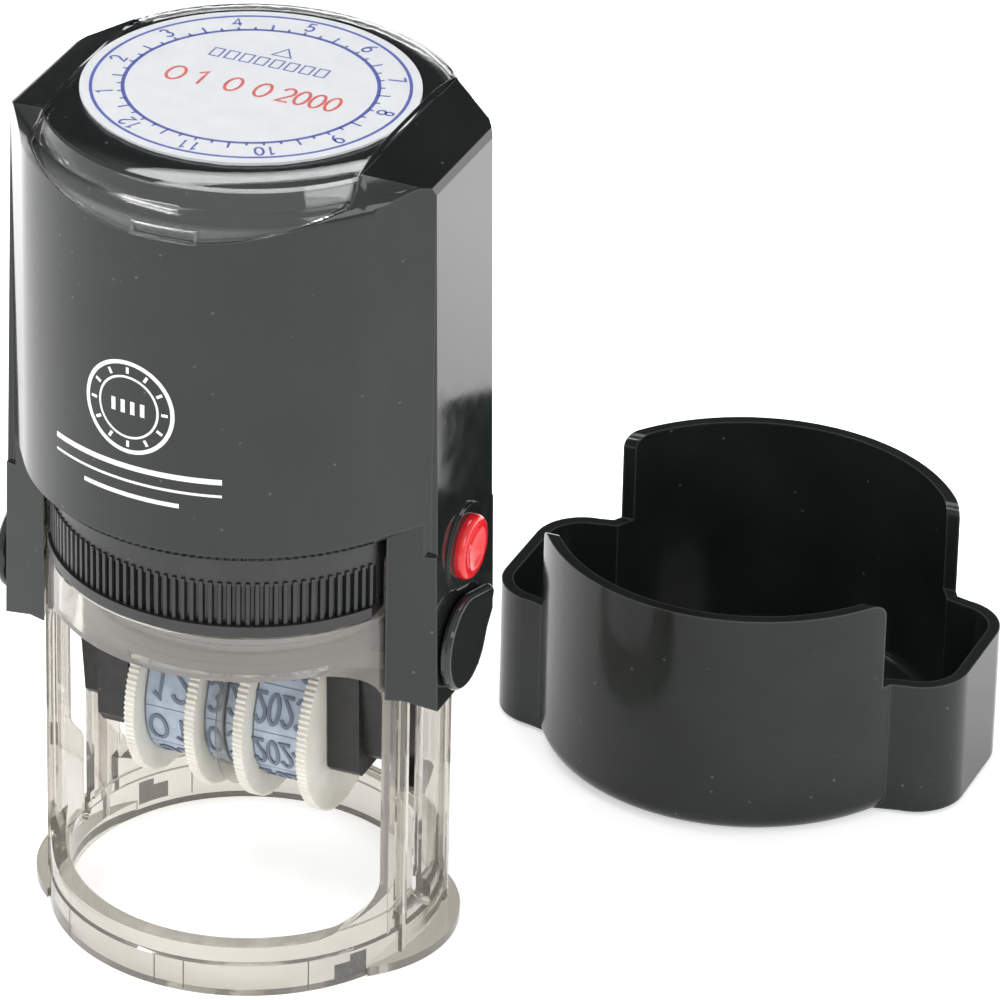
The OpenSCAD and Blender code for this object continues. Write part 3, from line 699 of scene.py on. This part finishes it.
def swept_coil(name, material, body):
    """A smooth coil in place of the CAD one."""
    low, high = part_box("return_spring")
    radius = (high.x - low.x) / 2 - WIRE_R
    turns, sides, per_turn = 7, 10, 28
    rings = turns * per_turn
    vertices, faces = [], []
    for i in range(rings + 1):
        a = 2 * pi * i / per_turn
        share = i / rings
        z = low.z + WIRE_R + (high.z - low.z - 2 * WIRE_R) * share
        for k in range(sides):
            b = 2 * pi * k / sides
            r = radius + WIRE_R * cos(b)
            vertices.append((r * cos(a), r * sin(a), z + WIRE_R * sin(b)))
    for i in range(rings):
        for k in range(sides):
            a, b = i * sides + k, i * sides + (k + 1) % sides
            faces.append((a, a + sides, b + sides, b))
    faces += [tuple(range(sides)), tuple(range(rings * sides, (rings + 1) * sides))[::-1]]
    piece = make_piece(name, vertices, faces, material, body, smooth=True)
    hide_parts("return_spring")
    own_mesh(piece)
    return piece


swept_coil("return_spring_wire", FINISH["steel"], "base")

# ---- Studio ----


def floor_white():
    """Lit from below like a light table, brighter further behind the object."""
    made = Shader("floor_white", (0.9, 0.9, 0.9), 0.7, Specular_IOR_Level=0.1)
    made.vary(60 * MM, 0.01, 0.02)
    far = made.node("ShaderNodeSeparateXYZ", Vector=made.place).outputs["Y"]
    glow = made.ramp(far, 0.1, 0.2, 0.5, 1.5)
    made.bsdf.inputs["Emission Color"].default_value = (1, 1, 1, 1)
    made.put(made.bsdf.inputs["Emission Strength"], glow)
    return made.material


FLOOR_HALF = 4.0
floor_mesh = bpy.data.meshes.new("floor")
corners = [(x * FLOOR_HALF, y * FLOOR_HALF, 0) for x, y in ((-1, -1), (1, -1), (1, 1), (-1, 1))]
floor_mesh.from_pydata(corners, [], [(0, 1, 2, 3)])
floor_mesh.materials.append(floor_white())
floor = bpy.data.objects.new("floor", floor_mesh)
floor.location.z = -0.02 * MM
bpy.context.scene.collection.objects.link(floor)


# The direction that the flat top reflects towards the camera
DARK_SIDE = (-0.33, 0.81, 0.49)
# What every lamp points at
AIM = Vector((0, 0, 0.08))


def studio_world():
    """Pale walls that reflect darker high up behind the object."""
    world = bpy.data.worlds.new("studio")
    world.use_nodes = True
    tree = world.node_tree
    place = tree.nodes.new("ShaderNodeTexCoord").outputs["Generated"]
    toward = tree.nodes.new("ShaderNodeVectorMath")
    toward.operation = "DOT_PRODUCT"
    tree.links.new(place, toward.inputs[0])
    toward.inputs[1].default_value = DARK_SIDE
    level = tree.nodes.new("ShaderNodeMapRange")
    tree.links.new(toward.outputs["Value"], level.inputs[0])
    for slot, number in zip(RANGE_SOCKETS, (0.3, 0.8, 0.8, 0.03)):
        level.inputs[slot].default_value = number
    # Seen directly, the walls are white all round
    path = tree.nodes.new("ShaderNodeLightPath")
    brighter = tree.nodes.new("ShaderNodeMath")
    brighter.operation = "MAXIMUM"
    tree.links.new(level.outputs[0], brighter.inputs[0])
    tree.links.new(path.outputs["Is Camera Ray"], brighter.inputs[1])
    tree.links.new(brighter.outputs[0], tree.nodes["Background"].inputs["Strength"])
    tree.nodes["Background"].inputs["Color"].default_value = (1, 1, 1, 1)
    bpy.context.scene.world = world


def soft_box(name, place, width, height, power):
    light = bpy.data.lights.new(name, "AREA")
    light.shape = "RECTANGLE"
    light.size, light.size_y = width, height
    light.energy = power
    lamp = bpy.data.objects.new(name, light)
    lamp.location = place
    lamp.rotation_euler = (AIM - Vector(place)).to_track_quat("-Z", "Y").to_euler()
    bpy.context.scene.collection.objects.link(lamp)


studio_world()
soft_box("overhead", (-0.2, 0.2, 1.1), 1.6, 0.32, 7.5)
soft_box("window", (-0.42, -0.5, 0.87), 0.44, 0.11, 3)
soft_box("fill", (0.9, -0.4, 0.5), 0.5, 0.5, 2.5)

# ---- Camera ----

AZIMUTH, ELEVATION, ROLL = radians(22.3), radians(29.09), radians(1.278)
DISTANCE = 1.0
TARGET = Vector((29.76, 12.2, 59.56)) * MM
back = Vector((sin(AZIMUTH) * cos(ELEVATION), -cos(AZIMUTH) * cos(ELEVATION), sin(ELEVATION)))
right = Vector((cos(AZIMUTH), sin(AZIMUTH), 0))
up = back.cross(right)
tilt = Matrix.Rotation(ROLL, 3, back)
axes = Matrix((tilt @ right, tilt @ up, back)).transposed()
camera_data = bpy.data.cameras.new("camera")
camera_data.lens = 280.7
camera_data.sensor_width = 36
camera_data.clip_start, camera_data.clip_end = 0.05, 20
camera = bpy.data.objects.new("camera", camera_data)
camera.matrix_world = Matrix.Translation(TARGET + back * DISTANCE) @ axes.to_4x4()
bpy.context.scene.collection.objects.link(camera)
bpy.context.scene.camera = camera
bpy.context.scene.view_settings.view_transform = "Standard"
